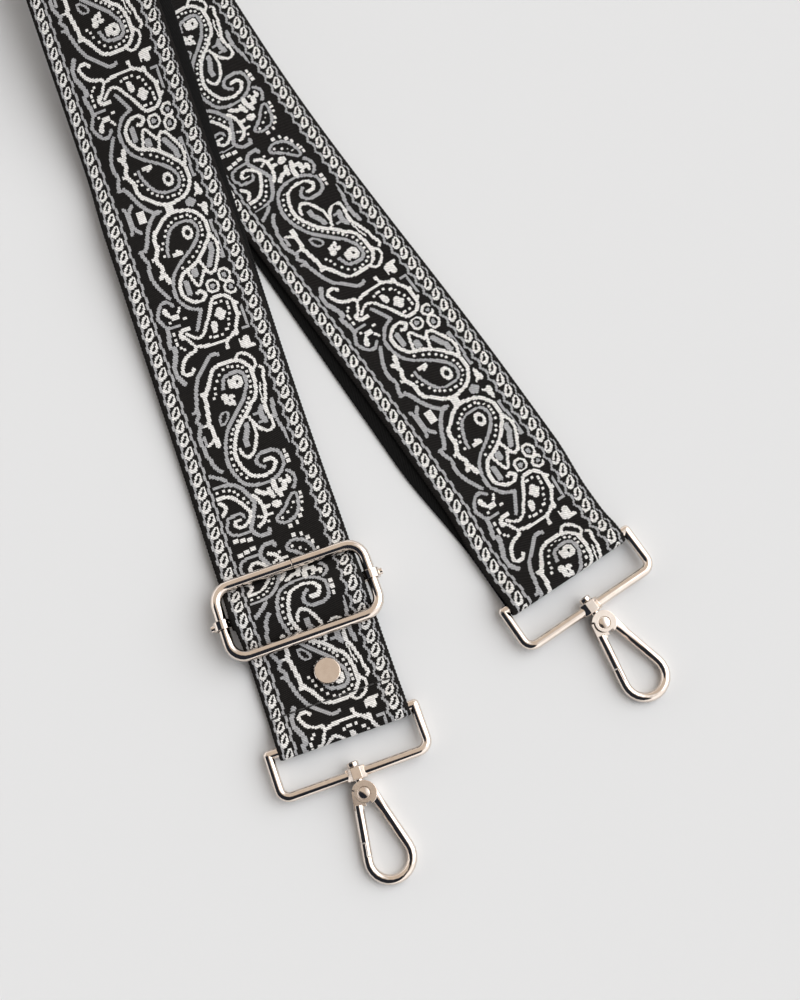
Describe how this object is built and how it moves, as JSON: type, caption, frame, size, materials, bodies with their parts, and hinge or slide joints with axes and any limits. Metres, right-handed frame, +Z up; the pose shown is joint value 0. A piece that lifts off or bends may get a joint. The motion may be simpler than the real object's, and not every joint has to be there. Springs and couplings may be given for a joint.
{
  "type": "bag strap",
  "caption": "Wide patterned bag strap, doubled through a slider and laid folded over, with a swivel hook clasp on each end.",
  "frame": {"origin": "centre of the laid strap's outline, on the table it lies on", "axes": "+Y runs up the left leg from clasp A to the fold, +X to the viewer's right towards clasp B, +Z up from the table"},
  "size_m": [0.1558, 0.4442, 0.0276],
  "materials": {
    "webbing": "woven jacquard",
    "nickel": "polished",
    "spring_steel": "drawn"
  },
  "bodies": {
    "strap": {"webbing_clasp_a_end": "webbing", "webbing_left_leg_front": "webbing", "webbing_fold_outer": "webbing", "webbing_right_leg_back": "webbing", "webbing_right_leg_front": "webbing", "webbing_fold_inner": "webbing", "webbing_left_leg_back": "webbing", "rivet_cap": "nickel", "rivet_back": "nickel"},
    "slider": {"slider_frame": "nickel", "slider_bar": "nickel", "webbing_slider_run": "webbing", "webbing_slider_anchor": "webbing"},
    "ring_a": {"clasp_ring_a": "nickel"},
    "hook_a": {"hook_body_a": "nickel", "gate_pin_a": "nickel", "gate_spring_a": "spring_steel"},
    "gate_a": {"hook_gate_a": "nickel"},
    "clasp_b_fold": {"webbing_clasp_b_end": "webbing"},
    "ring_b": {"clasp_ring_b": "nickel"},
    "hook_b": {"hook_body_b": "nickel", "gate_pin_b": "nickel", "gate_spring_b": "spring_steel"},
    "gate_b": {"hook_gate_b": "nickel"}
  },
  "joints": [
    {"name": "slider_slide", "type": "slide", "parent": "strap", "child": "slider", "axis": [0, 1, 0], "range_m": [-0.005, 0.08], "deforming": ["webbing_slider_run", "webbing_slider_anchor"]},
    {"name": "clasp_b_shift", "type": "slide", "parent": "strap", "child": "clasp_b_fold", "axis": [0.247, -0.969, 0], "range_m": [-0.0026, 0.0401], "deforming": ["webbing_clasp_b_end"]},
    {"name": "ring_a_turn", "type": "hinge", "parent": "strap", "child": "ring_a", "pos_m": [-0.04622, -0.16686, 0.00342], "axis": [1, 0, 0], "range_deg": [-150, 150]},
    {"name": "hook_a_swivel", "type": "hinge", "parent": "ring_a", "child": "hook_a", "pos_m": [-0.04581, -0.18979, 0.00312], "axis": [-0.0575, 0.9974, 0.0424], "continuous": true},
    {"name": "gate_a_hinge", "type": "hinge", "parent": "hook_a", "child": "gate_a", "pos_m": [-0.04581, -0.18979, 0.00312], "axis": [0.0024, -0.0423, 0.9991], "range_deg": [0, 22], "stiffness_Nm_per_rad": 0.04, "springref_deg": -28.65, "deforming": ["gate_spring_a"]},
    {"name": "ring_b_turn", "type": "hinge", "parent": "clasp_b_fold", "child": "ring_b", "pos_m": [0.04711, -0.14036, 0.00342], "axis": [0.969, 0.247, 0], "range_deg": [-150, 150]},
    {"name": "hook_b_swivel", "type": "hinge", "parent": "ring_b", "child": "hook_b", "pos_m": [0.05315, -0.16248, 0.00312], "axis": [-0.2988, 0.9534, 0.0424], "continuous": true},
    {"name": "gate_b_hinge", "type": "hinge", "parent": "hook_b", "child": "gate_b", "pos_m": [0.05315, -0.16248, 0.00312], "axis": [0.0127, -0.0404, 0.9991], "range_deg": [0, 22], "stiffness_Nm_per_rad": 0.04, "springref_deg": -28.65, "deforming": ["gate_spring_b"]}
  ],
  "couplings": [
    {"joint": "clasp_b_shift", "follows": "slider_slide", "ratio": 0.5}
  ]
}
